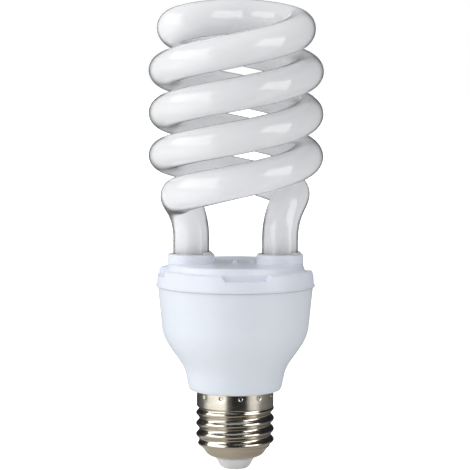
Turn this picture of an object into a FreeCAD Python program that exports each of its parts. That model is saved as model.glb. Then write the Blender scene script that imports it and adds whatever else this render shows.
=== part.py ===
# Spiral energy saving bulb on an Edison screw cap.
# Millimetres, +Z up, origin at the lowest point of the centre contact, on the axis.
# +X is the viewer's right and -Y is the side that faces the viewer.

import FreeCAD, Part
import math
import os

Vector = FreeCAD.Vector
UP = Vector(0, 0, 1)
ORIGIN = Vector(0, 0, 0)

# Edison screw cap. Heights run up from the centre contact, so this end is listed first.
contact_r = 3.2
contact_t = 0.5
contact_edge = 0.25
rivet_r = 0.9
rivet_head_r = 1.45
rivet_head_h = 0.6
insulator_fit = 0.05
insulator_neck_r = 6.3
insulator_flange_r = 7.3
insulator_flange_rise = 1.3
insulator_flange_t = 1.5
insulator_land = 0.75
insulator_side = [(4.6, 0.62), (5.1, 1.15), (5.5, 1.75), (5.82, 2.35), (6.2, 3.0)]
shell_t = 0.3
shell_edge_r = 6.7
shell_edge_z = 3.8
thread_pitch = 25.4 / 7.0
thread_crest_r = 13.2
thread_depth = 1.1
thread_crest_z = 17.2
thread_top_z = 20.6
thread_top_fade = 1.0
thread_low_z = 9.0
thread_low_fade = 1.5
skirt_r = 13.0
skirt_top_z = 26.5
skirt_blend = 0.3
dome_outline = [
    (shell_edge_r, shell_edge_z), (7.7, 4.17), (8.55, 4.5), (9.5, 5.1), (10.4, 6.3), (11.1, 7.2), (12.1, 8.0),
    (12.9, 8.9),
    (thread_crest_r, 9.9)]
stake_count = 12
stake_first_angle = -81.4
stake_drop = 1.1
stake_r = 0.75
stake_depth = 0.5

# Ballast housing: a tapered drum, a rounded shoulder and a neck over the cap.
housing_wall = 1.6
housing_floor_gap = 0.1
neck_ledge = 2.8
neck_draft = 0.9
neck_h = 4.4
neck_edge_h = 1.4
neck_edge_in = 2.2
shoulder_h = 16.1
shoulder_low_handle = 5.4
shoulder_top_handle = 7.0
drum_draft = 1.4
rim_r = 26.2
seam_z = 62.2
spigot_wall = 1.6
spigot_fit = 0.05
spigot_thread_gap = 0.1
board_rib_count = 4
board_rib_w = 2.0
board_rib_in = 2.0
board_rib_h = 6.0

# Cover over the tube ends.
cover_wall = 1.6
cover_lip_out = 0.6
cover_lip_h = 0.7
cover_ring_out = 0.3
cover_ring_h = 5.8
cover_draft = 0.3
cover_edge = 0.4
tier_h = 2.0
tier_draft = 0.5
tier_margin = 0.15
tier_wall = 1.4
notch_count = 4
notch_first_angle = -81.5
notch_top_width = 38.0
notch_floor_width = 32.0
notch_depth = 2.0
boss_wall = 1.45
boss_h = 3.0
boss_edge = 0.5
tongue_wall = 1.3
tongue_len = 4.5
tongue_fit = 0.1
latch_count = 4
latch_first_angle = 45.0
latch_angle = 16.0
latch_proud = 0.5
latch_h = 1.2
latch_drop = 2.3
latch_fit = 0.1

# Glass tube: its section is round in the legs and the bridge and a little flattened in the coil.
leg_r = 6.1
coil_radial_r = 6.15
coil_axial_r = 5.55
bridge_r = 5.95
section_blend = 75.0

# Glass tube: centre line. Each arm falls clockwise seen from above. Arm two is arm one after half a turn.
coil_r = 23.15
coil_top_inset = 2.55
coil_end_inset = 2.15
coil_lead = 28.45
coil_angle = 690.0
coil_widen_angle = 180.0
coil_narrow_angle = 110.0
coil_end_drop = 0.4
coil_above_boss = 21.17
bridge_rise = 3.8
bridge_heading = 40.0
bridge_handle = 11.5
arm_handle = 9.0
leg_inset = 11.25
leg_straight_h = 5.0
leg_top_handle = 6.0
leg_bend_handle = 12.0
leg_end_drop = 7.6
nipple_r = 1.9
nipple_len = 2.2

# Sealing compound round the legs and the two drips between the bosses.
leg_clearance = 0.35
seal_gap = 0.03
seal_proud = 0.1
seal_bead_r = 0.75
seal_bead_angle = 100.0
drip_r = 1.1
small_drip_r = 0.6
small_drip_gap = 1.35

# Circuit board, its pins and the wires.
board_t = 1.6
board_under_tongue = 0.1
board_under_tongue_w = 0.35
lead_r = 0.3
lead_fit = 0.12
lead_above = 1.0
post_r = 0.45
post_fit = 0.05
post_above = 3.2
post_below = 1.0
post_y = -7.6
post_spread = 2.0
wire_r = 0.5
wire_fit = 0.08
wire_bend = 3.0
live_place = (0.0, -8.4)
neutral_place = (0.0, 8.4)
wire_straight_z = 31.0
bare_wire_r = 0.25
bare_wire_bend = 0.7
filament_exit_step = 3.2
filament_exit_y = -2.6

# Components under the board. Each is given by its body, its place and its gap below the board.
storage_r = 6.25
storage_len = 20.0
storage_gap = 3.0
storage_pitch = 5.0
storage_edge = 0.8
choke_x = -13.8
choke_w = 13.0
choke_len = 12.4
choke_depth = 6.0
choke_leg = 2.4
choke_side_leg = 1.9
choke_centre_w = 3.4
choke_joint = 0.04
choke_wall = 0.7
choke_fit = 0.05
choke_gap = 0.8
choke_winding_depth = 1.9
choke_pin_x = 3.0
choke_foot = 1.2
toroid_x = 13.2
toroid_r = 4.7
toroid_bore_r = 2.6
toroid_w = 4.0
toroid_gap = 0.2
toroid_wire_r = 0.35
toroid_wire_fit = 0.03
toroid_turns = 9
toroid_spread = 300.0
transistor_w = 8.0
transistor_t = 3.2
transistor_h = 11.0
transistor_gap = 1.5
transistor_pitch = 2.3
transistor_hole_r = 1.6
transistor_places = [(-1.0, 12.0), (-1.0, -12.0)]
diode_r = 1.35
diode_len = 5.2
diode_fold = 1.0
diode_places = [(-18.0, -10.0), (-14.6, -10.0), (-11.2, -10.0), (-7.8, -10.0)]
resistor_r = 1.15
resistor_len = 6.3
resistor_fold = 1.8
resistor_places = [(-8.0, -16.8), (-4.0, -16.8), (0.0, -16.8), (4.0, -16.8)]
fuse_r = 1.8
fuse_len = 9.0
fuse_fold = 2.4
fuse_place = (17.0, -5.0)
diac_r = 1.0
diac_len = 4.0
diac_fold = 1.6
diac_place = (18.2, 5.4)
axial_gap = 1.0
axial_drop = 1.4
resonant_size = (12.0, 5.0, 9.0)
resonant_place = (3.0, 17.2)
coupling_size = (8.0, 4.0, 7.0)
coupling_place = (-10.0, 13.6)
film_gap = 0.6
film_lead_in = 1.4
snubber_r = 3.0
snubber_t = 2.4
snubber_place = (5.8, 10.6)
thermistor_r = 4.0
thermistor_t = 3.6
thermistor_place = (12.6, 11.0)
disc_gap = 1.0
drum_r = 4.0
drum_neck_r = 2.2
drum_flange = 1.4
drum_h = 9.5
drum_gap = 0.8
drum_pitch = 5.0
drum_winding_in = 0.4
drum_winding_fit = 0.02
drum_place = (10.0, -12.0)

# What follows from the sizes above.
rivet_top_z = shell_edge_z + insulator_flange_rise + insulator_flange_t + rivet_head_h
spigot_r = skirt_r - shell_t - spigot_fit
spigot_end_z = thread_top_z + thread_top_fade + spigot_thread_gap
skirt_low_z = thread_top_z + thread_top_fade + skirt_blend
housing_floor_z = skirt_top_z + housing_floor_gap
neck_low_r = skirt_r + neck_ledge
neck_top_r = neck_low_r + neck_draft
neck_low_z = housing_floor_z + neck_edge_h
neck_top_z = neck_low_z + neck_h
drum_low_r = rim_r - drum_draft
drum_low_z = neck_top_z + shoulder_h
leg_x = rim_r - leg_inset
bore_r = leg_r + leg_clearance
boss_r = bore_r + boss_wall
ring_top_z = seam_z + cover_ring_h
ring_top_r = rim_r + cover_ring_out - cover_draft
tier_top_z = ring_top_z + tier_h
tier_top_r = leg_x + boss_r - tier_margin
tier_low_r = tier_top_r + tier_draft
boss_top_z = tier_top_z + boss_h
notch_floor_z = ring_top_z - notch_depth
tongue_z = seam_z - tongue_len
board_top_z = tongue_z - board_under_tongue
board_z = board_top_z - board_t
lead_top_z = board_top_z + lead_above
leg_end_z = boss_top_z - boss_h - leg_end_drop
leg_straight_z = boss_top_z + leg_straight_h
coil_top_r = coil_r - coil_top_inset
coil_end_r = coil_r - coil_end_inset
arm_top_z = boss_top_z + coil_above_boss + coil_lead * coil_angle / 360.0
bridge_z = arm_top_z + bridge_rise

PARTS = "parts"
TUBE_SIDES = 16
TUBE_PIECES = 14
COIL_STEP = 7.5
BRIDGE_STEPS = 12
LEG_STEPS = 12
STRAIGHT_STEPS = 5
THREAD_SIDES = 48
THREAD_ROWS = 12
DOME_ROWS = 16
SKIRT_ROWS = 2
JOIN_TOLERANCE = 0.0001


def smooth(t):
    t = min(max(t, 0.0), 1.0)
    return t * t * (3.0 - 2.0 * t)


def polar(radius, degrees, z=0.0):
    angle = math.radians(degrees)
    return Vector(radius * math.cos(angle), radius * math.sin(angle), z)


def half_turn(v):
    return Vector(-v.x, -v.y, v.z)


def cylinder(radius, bottom, top, x=0.0, y=0.0):
    return Part.makeCylinder(radius, top - bottom, Vector(x, y, bottom))


def box(x0, x1, y0, y1, z0, z1):
    return Part.makeBox(x1 - x0, y1 - y0, z1 - z0, Vector(x0, y0, z0))


def lines(points):
    """Straight edges through (radius, height) points."""
    ends = [Vector(r, 0, z) for r, z in points]
    return [Part.makeLine(a, b) for a, b in zip(ends, ends[1:])]


def turned(edges, degrees=360.0, start=0.0):
    """Turn a closed outline about the axis. The outline lies in the XZ plane."""
    face = Part.Face(Part.Wire(Part.__sortEdges__(edges)))
    solid = face.revolve(ORIGIN, UP, degrees)
    solid.rotate(ORIGIN, UP, start)
    return solid


def spline_through(points, parameters=None, closed=False):
    curve = Part.BSplineCurve()
    options = {"Points": points, "PeriodicFlag": closed}
    if parameters:
        options["Parameters"] = parameters
    curve.interpolate(**options)
    return curve


def spline_surface(rows, row_knots, closed_knots):
    """Smooth surface through closed rings of points, one ring per row."""
    rings = [spline_through(row, closed_knots, closed=True).getPoles() for row in rows]
    columns = [spline_through([ring[k] for ring in rings], row_knots) for k in range(len(rings[0]))]
    poles = [list(row) for row in zip(*[column.getPoles() for column in columns])]
    along = columns[0]
    around = spline_through(rows[0], closed_knots, closed=True)
    surface = Part.BSplineSurface()
    surface.buildFromPolesMultsKnots(
        poles, along.getMultiplicities(), around.getMultiplicities(),
        along.getKnots(), around.getKnots(), False, True, 3, 3)
    return surface


def angles_round(count):
    return [2.0 * math.pi * k / count for k in range(count + 1)]


def sew_solid(faces):
    shell = Part.makeShell(faces)
    shell.sewShape(0.001)
    return Part.makeSolid(shell)


def bent_bar(points, radius, bend):
    """A round bar of straight runs joined by arcs."""
    pieces = []
    start = points[0]
    for before, corner, after in zip(points, points[1:], points[2:]):
        inward = (corner - before).normalize()
        outward = (after - corner).normalize()
        turn = inward.getAngle(outward)
        reach = bend * math.tan(turn / 2.0)
        first = corner - inward * reach
        axis = inward.cross(outward).normalize()
        centre = first + axis.cross(inward) * bend
        pieces.append(Part.makeCylinder(radius, (first - start).Length, start, inward))
        disc = Part.Face(Part.Wire(Part.makeCircle(radius, first, inward)))
        pieces.append(disc.revolve(centre, axis, math.degrees(turn)))
        start = corner + outward * reach
    last = points[-1] - start
    pieces.append(Part.makeCylinder(radius, last.Length, start, last))
    return pieces[0].fuse(pieces[1:]).removeSplitter().Solids[0]


def export(name, solids):
    shape = solids[0] if len(solids) == 1 else Part.makeCompound(solids)
    shape.exportStep(os.path.join(PARTS, name + ".step"))
    broken = [s for s in solids if not s.isValid()]
    volume = sum(s.Volume for s in solids)
    print(name, len(solids), round(volume, 1), "INVALID" if broken else "ok")


# Screw cap.

def thread_radius(crest, angle, z):
    """Outer radius of the shell with the thread pressed in below its crest radius."""
    top = 1.0 - smooth((z - thread_top_z) / thread_top_fade)
    low = smooth((z - thread_low_z + thread_low_fade) / thread_low_fade)
    phase = 2.0 * math.pi * (z - thread_crest_z) / thread_pitch - angle
    return crest - thread_depth * min(top, low) * (1.0 - math.cos(phase)) / 2.0


def shell_outline():
    """Crest outline of the shell from the dome's lower edge to the foot of the skirt."""
    dome = spline_through([Vector(r, 0, z) for r, z in dome_outline])
    first = dome.FirstParameter
    span = dome.LastParameter - first
    points = [dome.value(first + span * i / DOME_ROWS) for i in range(DOME_ROWS)]
    outline = [(p.x, p.z) for p in points]
    step = thread_pitch / THREAD_ROWS
    z = outline[-1][1]
    while z < thread_top_z + thread_top_fade:
        z += step
        drop = smooth((z - thread_top_z) / thread_top_fade)
        outline.append((thread_crest_r + (skirt_r - thread_crest_r) * drop, z))
    for i in range(1, SKIRT_ROWS + 1):
        outline.append((skirt_r, z + (skirt_low_z - z) * i / SKIRT_ROWS))
    return outline


def shell_surface(outline, inset):
    """Skin of the shell, moved in by the inset along the outline's normal."""
    turn = angles_round(THREAD_SIDES)
    last = len(outline) - 1
    lengths = [0.0]
    for (r0, z0), (r1, z1) in zip(outline, outline[1:]):
        lengths.append(lengths[-1] + math.hypot(r1 - r0, z1 - z0))
    rows = []
    for i, (crest, z) in enumerate(outline):
        r0, z0 = outline[max(i - 1, 0)]
        r1, z1 = outline[min(i + 1, last)]
        slope = math.hypot(r1 - r0, z1 - z0)
        moved_r = inset * (z1 - z0) / slope
        moved_z = inset * (r1 - r0) / slope
        radii = [thread_radius(crest, angle, z) - moved_r for angle in turn[:-1]]
        rows.append([polar(r, math.degrees(angle), z + moved_z) for r, angle in zip(radii, turn)])
    return spline_surface(rows, lengths, turn).toShape()


def end_edge(face, top):
    """The closed edge at the top or at the bottom of a shell surface."""
    rings = [e for e in face.Edges if e.BoundBox.ZLength < 0.01]
    return max(rings, key=lambda e: e.BoundBox.ZMax if top else -e.BoundBox.ZMax)


def stake_ball(index, radius):
    """Ball that presses one stake mark into the skirt."""
    angle = stake_first_angle + 360.0 * index / stake_count
    return Part.makeSphere(radius, polar(skirt_r + stake_r - stake_depth, angle, skirt_top_z - stake_drop))


def screw_shell():
    outline = shell_outline()
    outer = shell_surface(outline, 0.0)
    inner = shell_surface(outline, shell_t)
    ends = [Part.makeRuledSurface(end_edge(outer, top), end_edge(inner, top)) for top in (True, False)]
    skirt = cylinder(skirt_r, skirt_low_z, skirt_top_z)
    skirt = skirt.cut(cylinder(skirt_r - shell_t, skirt_low_z, skirt_top_z))
    solid = sew_solid([outer, inner] + ends).fuse([skirt], JOIN_TOLERANCE)
    skin = cylinder(skirt_r - shell_t / 2.0, spigot_end_z, skirt_top_z)
    for i in range(stake_count):
        solid = solid.fuse(stake_ball(i, stake_r + shell_t).common(skin))
        solid = solid.cut(stake_ball(i, stake_r))
    return solid.Solids[0]


def cap_insulator():
    """Insulator between the shell and the contact, with a flange inside the shell."""
    seat_r = contact_r + insulator_fit
    hole_r = rivet_r + insulator_fit
    land_r = seat_r + insulator_land
    top_r = shell_edge_r - insulator_fit
    top_z = shell_edge_z - insulator_fit
    side = [Vector(r, 0, z) for r, z in [(land_r, contact_edge)] + insulator_side + [(top_r, top_z)]]
    flange_z = shell_edge_z + insulator_flange_rise
    outline = lines([
        (top_r, top_z), (insulator_neck_r, top_z), (insulator_neck_r, flange_z - 0.4),
        (insulator_flange_r, flange_z), (insulator_flange_r, flange_z + insulator_flange_t),
        (hole_r, flange_z + insulator_flange_t), (hole_r, contact_t), (seat_r, contact_t),
        (seat_r, contact_edge), (land_r, contact_edge)])
    return turned(outline + [spline_through(side).toShape()])


def centre_contact():
    """Contact disc riveted through the insulator."""
    head_z = rivet_top_z - rivet_head_h
    outline = [
        (0, 0), (contact_r - contact_edge, 0), (contact_r, contact_edge), (contact_r, contact_t),
        (rivet_r, contact_t), (rivet_r, head_z), (rivet_head_r, head_z),
        (rivet_r, rivet_top_z), (0, rivet_top_z), (0, 0)]
    return turned(lines(outline))


# Ballast housing.

def housing_inner_r(z):
    """Inner radius of the drum at a height."""
    return rim_r + (drum_low_r - rim_r) * (seam_z - z) / (seam_z - drum_low_z) - housing_wall


def housing_side(inset):
    """Rim to neck: the drum, the shoulder curve and the neck, moved in by the inset."""
    drum = Vector(drum_low_r - rim_r, 0, drum_low_z - seam_z).normalize()
    neck = Vector(neck_low_r - neck_top_r, 0, neck_low_z - neck_top_z).normalize()
    drum_in = Vector(drum.z, 0, -drum.x) * inset
    neck_in = Vector(neck.z, 0, -neck.x) * inset
    top = Vector(drum_low_r, 0, drum_low_z) + drum_in
    low = Vector(neck_top_r, 0, neck_top_z) + neck_in
    shoulder = Part.BezierCurve()
    shoulder.setPoles([top, top + drum * shoulder_top_handle, low - neck * shoulder_low_handle, low])
    rim = Vector(rim_r - inset, 0, seam_z)
    end = Vector(neck_low_r, 0, neck_low_z) + neck_in
    return rim, end, [Part.makeLine(rim, top), shoulder.toShape(), Part.makeLine(low, end)]


def ballast_housing():
    rim, neck_end, outer = housing_side(0.0)
    inner_rim, inner_end, inner = housing_side(housing_wall)
    floor_in_z = housing_floor_z + housing_wall
    bottom = lines([
        (neck_end.x, neck_end.z), (neck_end.x - neck_edge_in * 0.25, neck_end.z - neck_edge_h * 0.7),
        (neck_end.x - neck_edge_in, housing_floor_z), (spigot_r, housing_floor_z),
        (spigot_r, spigot_end_z), (spigot_r - spigot_wall, spigot_end_z),
        (spigot_r - spigot_wall, floor_in_z), (inner_end.x, floor_in_z), (inner_end.x, inner_end.z)])
    solid = turned(outer + bottom + inner + [Part.makeLine(inner_rim, rim)])
    for i in range(board_rib_count):
        rib = box(board_r() - board_rib_in, housing_inner_r(board_z) + housing_wall / 4.0,
                  -board_rib_w / 2.0, board_rib_w / 2.0, board_z - board_rib_h, board_z)
        rib.rotate(ORIGIN, UP, latch_first_angle + 360.0 * i / board_rib_count)
        solid = solid.fuse(rib)
    solid = solid.cut(turned(latch_outline(latch_fit)))
    for i in range(stake_count):
        solid = solid.cut(stake_ball(i, stake_r + shell_t + spigot_fit))
    return solid.removeSplitter().Solids[0]


# Cover.

def latch_outline(fit):
    """Outline of a latch lug, or of its groove where a fit is given."""
    z = seam_z - latch_drop
    root_r = housing_inner_r(z) - tongue_fit - latch_proud
    tip_r = housing_inner_r(z) - tongue_fit + latch_proud + fit
    half = latch_h / 2.0 + fit
    flat = half / 2.0
    low = (root_r, z - half)
    return lines([low, (tip_r, z - flat), (tip_r, z + flat), (root_r, z + half), low])


def tongue_low_r():
    return housing_inner_r(tongue_z) - tongue_fit


def tube_cover():
    ring_in = tier_top_r - tier_wall
    ring_ceiling = notch_floor_z - cover_wall
    ceiling = tier_top_z - cover_wall
    tongue_in = tongue_low_r() - tongue_wall
    lip_r = rim_r + cover_lip_out
    outline = [
        (0, tier_top_z), (tier_top_r - cover_edge, tier_top_z), (tier_top_r, tier_top_z - cover_edge),
        (tier_low_r, ring_top_z), (ring_top_r - cover_edge, ring_top_z),
        (ring_top_r, ring_top_z - cover_edge), (rim_r + cover_ring_out, seam_z + cover_lip_h),
        (lip_r, seam_z + cover_lip_h * 0.7), (lip_r, seam_z),
        (housing_inner_r(seam_z) - tongue_fit, seam_z), (tongue_low_r(), tongue_z),
        (tongue_in, tongue_z), (tongue_in, ring_ceiling), (ring_in, ring_ceiling),
        (ring_in, ceiling), (0, ceiling), (0, tier_top_z)]
    solid = turned(lines(outline))
    for i in range(notch_count):
        solid = solid.cut(notch(notch_first_angle + 360.0 * i / notch_count))
    for x in (-leg_x, leg_x):
        solid = solid.fuse(boss(x))
    for x in (-leg_x, leg_x):
        solid = solid.cut(cylinder(bore_r, tongue_z, boss_top_z + 1.0, x))
    for i in range(latch_count):
        middle = latch_first_angle + 360.0 * i / latch_count
        solid = solid.fuse(turned(latch_outline(0.0), latch_angle, middle - latch_angle / 2.0))
    return solid.removeSplitter().Solids[0]


def boss(x):
    post = cylinder(boss_r, tier_top_z - cover_wall, boss_top_z, x)
    top = [e for e in post.Edges if e.BoundBox.ZMin > boss_top_z - 0.01]
    return post.makeFillet(boss_edge, top)


def notch(middle):
    """A recess in the ring's top edge, wider at its mouth."""
    bottom = sector(middle, notch_floor_width, notch_floor_z)
    top = sector(middle, notch_top_width, ring_top_z + 0.01)
    return Part.makeLoft([bottom, top], True, True)


def sector(middle, width, z):
    """Outline of a piece of a ring outside the tier."""
    inner_r = tier_low_r + 0.1
    outer_r = rim_r + 3.0
    left = middle - width / 2.0
    right = middle + width / 2.0
    inner = Part.Arc(polar(inner_r, left, z), polar(inner_r, middle, z), polar(inner_r, right, z))
    outer = Part.Arc(polar(outer_r, right, z), polar(outer_r, middle, z), polar(outer_r, left, z))
    side = Part.makeLine(polar(inner_r, right, z), polar(outer_r, right, z))
    other = Part.makeLine(polar(outer_r, left, z), polar(inner_r, left, z))
    return Part.Wire([inner.toShape(), side, outer.toShape(), other])


def drip(x, radius):
    """A drop of compound on the cover, halfway between front and back."""
    ball = Part.makeSphere(radius, Vector(x, 0, tier_top_z + seal_gap))
    reach = 2.0 * radius
    over = box(x - reach, x + reach, -reach, reach, tier_top_z + seal_gap, tier_top_z + reach)
    return ball.common(over).Solids[0]


def leg_seals():
    """Sealing compound between each leg and its boss, with the bead that stands out on the right."""
    solids = []
    outer_r = bore_r - seal_gap
    bottom = tier_top_z - cover_wall
    lift = boss_top_z + seal_gap
    for x in (-leg_x, leg_x):
        ring = cylinder(outer_r, bottom, boss_top_z + seal_proud, x)
        bead = Part.makeTorus(outer_r, seal_bead_r, ORIGIN, UP, -180, 180, seal_bead_angle)
        bead.rotate(ORIGIN, UP, -seal_bead_angle / 2.0)
        bead.translate(Vector(x, 0, lift))
        reach = 2.0 * outer_r
        over = box(x - reach, x + reach, -reach, reach, lift, lift + reach)
        ring = ring.fuse(bead.common(over))
        ring = ring.cut(cylinder(leg_r + seal_gap, bottom - 1.0, lift + reach, x))
        solids += ring.Solids
    beside_boss = leg_x - boss_r - small_drip_gap
    return solids + [drip(0.0, drip_r), drip(beside_boss, small_drip_r)]


# Glass tube.

def bezier(p0, p1, p2, p3, t):
    s = 1.0 - t
    return p0 * s ** 3 + p1 * (3 * s * s * t) + p2 * (3 * s * t * t) + p3 * t ** 3


def arm_point(angle):
    widen = smooth(angle / coil_widen_angle)
    narrow = smooth((angle - coil_angle + coil_narrow_angle) / coil_narrow_angle)
    radius = coil_top_r + (coil_r - coil_top_r) * widen + (coil_end_r - coil_r) * narrow
    z = arm_top_z - coil_lead * angle / 360.0 - coil_end_drop * narrow
    return polar(radius, -angle, z)


def arm_heading(angle):
    ahead = arm_point(angle + 0.5)
    behind = arm_point(angle - 0.5)
    return (ahead - behind).normalize()


def half_centre_line():
    """Points from the middle of the bridge to the end of one leg, with the coil angle at each."""
    middle = Vector(0, 0, bridge_z)
    out = polar(bridge_handle, bridge_heading)
    start = arm_point(0.0)
    back = arm_heading(0.0) * arm_handle
    coil_end = arm_point(coil_angle)
    ahead = arm_heading(coil_angle) * leg_top_handle
    leg_top = Vector(leg_x, 0, leg_straight_z)
    above = leg_top + UP * leg_bend_handle
    samples = []
    for i in range(BRIDGE_STEPS):
        point = bezier(middle, middle + out, start - back, start, i / BRIDGE_STEPS)
        samples.append((point, 0.0))
    steps = int(round(coil_angle / COIL_STEP))
    for i in range(steps):
        angle = coil_angle * i / steps
        samples.append((arm_point(angle), angle))
    for i in range(LEG_STEPS):
        point = bezier(coil_end, coil_end + ahead, above, leg_top, i / LEG_STEPS)
        samples.append((point, coil_angle))
    for i in range(STRAIGHT_STEPS + 1):
        z = leg_straight_z + (leg_end_z - leg_straight_z) * i / STRAIGHT_STEPS
        samples.append((Vector(leg_x, 0, z), coil_angle))
    return samples


def section_radii(angle):
    """Radial and axial half widths of the tube where the arm has turned by this angle."""
    start = smooth(angle / section_blend)
    end = smooth((angle - coil_angle + section_blend) / section_blend)
    radial = bridge_r + (coil_radial_r - bridge_r) * start + (leg_r - coil_radial_r) * end
    axial = bridge_r + (coil_axial_r - bridge_r) * start + (leg_r - coil_axial_r) * end
    return radial, axial


def half_sections():
    """Centre, radial half axis and axial half axis along one half of the tube."""
    samples = half_centre_line()
    points = [point for point, angle in samples]
    sections = []
    axial = UP
    for i, (point, angle) in enumerate(samples):
        before = points[i - 1] if i else half_turn(points[1])
        after = points[i + 1] if i + 1 < len(points) else point + UP * -1.0
        heading = (after - before).normalize()
        if i + 1 == len(points):
            heading = UP * -1.0
        reference = UP if angle < coil_angle else axial
        axial = (reference - heading * reference.dot(heading)).normalize()
        radial = axial.cross(heading)
        half_width, half_height = section_radii(angle)
        sections.append((point, radial * half_width, axial * half_height))
    return sections


def tube_faces():
    """One smooth surface from leg end to leg end, cut into pieces along its length."""
    ahead = half_sections()
    behind = [(half_turn(c), half_turn(a) * -1.0, half_turn(d)) for c, a, d in ahead[1:]]
    sections = behind[::-1] + ahead
    lengths = [0.0]
    for (c0, a0, d0), (c1, a1, d1) in zip(sections, sections[1:]):
        lengths.append(lengths[-1] + (c1 - c0).Length)
    turn = angles_round(TUBE_SIDES)
    rows = [[c + a * math.cos(t) + d * math.sin(t) for t in turn[:-1]] for c, a, d in sections]
    surface = spline_surface(rows, lengths, turn)
    cuts = [lengths[round(i * (len(lengths) - 1) / TUBE_PIECES)] for i in range(TUBE_PIECES + 1)]
    faces = []
    for low, high in zip(cuts, cuts[1:]):
        piece = surface.copy()
        piece.segment(low, high, turn[0], turn[-1])
        faces.append(piece.toShape())
    return faces


def glass_tube():
    """The sealed tube with a nipple on each end."""
    faces = tube_faces()
    ends = []
    for edge in faces[0].Edges + faces[-1].Edges:
        if abs(edge.BoundBox.ZMax - leg_end_z) < 0.01:
            ends.append(Part.Face(Part.Wire(edge)))
    solid = sew_solid(faces + ends)
    for x in (-leg_x, leg_x):
        solid = solid.fuse(cylinder(nipple_r, leg_end_z - nipple_len, leg_end_z + 1.0, x))
    return solid.Solids[0]


# Components. Each returns its solids and the places of its leads.

def lead(place, bottom):
    return cylinder(lead_r, bottom, lead_top_z, place[0], place[1])


def with_leads(body, places, bottom):
    return body.fuse([lead(place, bottom) for place in places]).Solids[0]


def flat_rims(shape):
    """Round edges that lie level."""
    return [e for e in shape.Edges if e.Closed and e.BoundBox.ZLength < 0.01]


def storage_capacitor():
    """Can with a rolled groove near its sealed end, hung down the neck."""
    top = board_z - storage_gap
    can = cylinder(storage_r, top - storage_len, top)
    can = can.makeFillet(storage_edge, flat_rims(can))
    groove_at = Vector(0, 0, top - 3.0 * storage_edge)
    groove = Part.makeTorus(storage_r + storage_edge / 2.0, storage_edge, groove_at, UP)
    places = [(-storage_pitch / 2.0, 0), (storage_pitch / 2.0, 0)]
    return with_leads(can.cut(groove), places, top - storage_edge), places


def choke_core(x0, x1, y, middle, window_low, window_top):
    """The two halves of the ferrite core."""
    low = middle - choke_len / 2.0
    high = middle + choke_len / 2.0
    core = box(x0, x1, -y, y, low, high)
    centre = choke_centre_w / 2.0
    core = core.cut(box(x0 + choke_side_leg, choke_x - centre, -y - 1, y + 1, window_low, window_top))
    core = core.cut(box(choke_x + centre, x1 - choke_side_leg, -y - 1, y + 1, window_low, window_top))
    upper = core.common(box(x0, x1, -y, y, middle + choke_joint / 2.0, high))
    lower = core.common(box(x0, x1, -y, y, low, middle - choke_joint / 2.0))
    return [upper.Solids[0], lower.Solids[0]]


def choke():
    """Core halves, bobbin and winding, with the winding's axis upright."""
    x0 = choke_x - choke_w / 2.0
    x1 = choke_x + choke_w / 2.0
    y = choke_depth / 2.0
    middle = board_z - choke_gap - choke_len / 2.0
    window_top = middle + choke_len / 2.0 - choke_leg
    window_low = middle - choke_len / 2.0 + choke_leg
    cores = choke_core(x0, x1, y, middle, window_low, window_top)
    inside = choke_centre_w / 2.0 + choke_fit
    tube_x = inside + choke_wall
    tube_y = y + choke_fit + choke_wall
    cheek_x = choke_w / 2.0 - choke_side_leg - choke_fit
    cheek_y = tube_y + choke_winding_depth
    low = window_low + choke_fit
    high = window_top - choke_fit
    spool = box(choke_x - tube_x, choke_x + tube_x, -tube_y, tube_y, low, high)
    for z in (low, high - choke_wall):
        spool = spool.fuse(box(choke_x - cheek_x, choke_x + cheek_x, -cheek_y, cheek_y, z, z + choke_wall))
    pin_y = cheek_y - choke_foot / 2.0
    pins = [(choke_x + sx * choke_pin_x, sy * pin_y) for sx in (-1, 1) for sy in (-1, 1)]
    half = choke_foot / 2.0
    for px, py in pins:
        spool = spool.fuse(box(px - half, px + half, py - half, py + half, high - choke_wall / 2.0, board_z))
    bore_y = y + choke_fit
    spool = spool.cut(box(choke_x - inside, choke_x + inside, -bore_y, bore_y, low - 1, high + 1))
    bobbin = with_leads(spool, pins, high)
    reach_x = cheek_x - choke_wall / 2.0
    coil = box(choke_x - reach_x, choke_x + reach_x, -cheek_y, cheek_y, low + choke_wall, high - choke_wall)
    coil = coil.makeFillet(choke_winding_depth / 2.0, [e for e in coil.Edges if e.BoundBox.ZLength > 1.0])
    coil = coil.cut(box(choke_x - tube_x, choke_x + tube_x, -tube_y, tube_y, low, high))
    return cores, bobbin, coil.Solids[0], pins


def drive_transformer():
    """Ferrite ring on its edge and the turns of wire round it."""
    axis = Vector(0, 1, 0)
    drop = toroid_r + toroid_wire_fit + 2.0 * toroid_wire_r + toroid_gap
    middle = Vector(toroid_x, 0, board_z - drop)
    start = middle - axis * (toroid_w / 2.0)
    ring = Part.makeCylinder(toroid_r, toroid_w, start, axis)
    ring = ring.cut(Part.makeCylinder(toroid_bore_r, toroid_w, start, axis))
    windings = []
    for turn in range(toroid_turns):
        loop = turn_loop()
        loop.rotate(ORIGIN, axis, toroid_spread * (turn / (toroid_turns - 1) - 0.5) + 180.0)
        loop.translate(middle)
        windings.append(loop)
    return ring, windings


def turn_loop():
    """One turn of wire round the ring's section, under the ring's centre."""
    gap = toroid_wire_r + toroid_wire_fit
    half_w = toroid_w / 2.0 + gap
    outer = toroid_r + gap
    inner = toroid_bore_r - gap
    corners = [Vector(0, -half_w, -outer), Vector(0, half_w, -outer),
               Vector(0, half_w, -inner), Vector(0, -half_w, -inner)]
    pieces = [Part.makeSphere(toroid_wire_r, corner) for corner in corners]
    for a, b in zip(corners, corners[1:] + corners[:1]):
        pieces.append(Part.makeCylinder(toroid_wire_r, (b - a).Length, a, b - a))
    return pieces[0].fuse(pieces[1:]).Solids[0]


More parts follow.
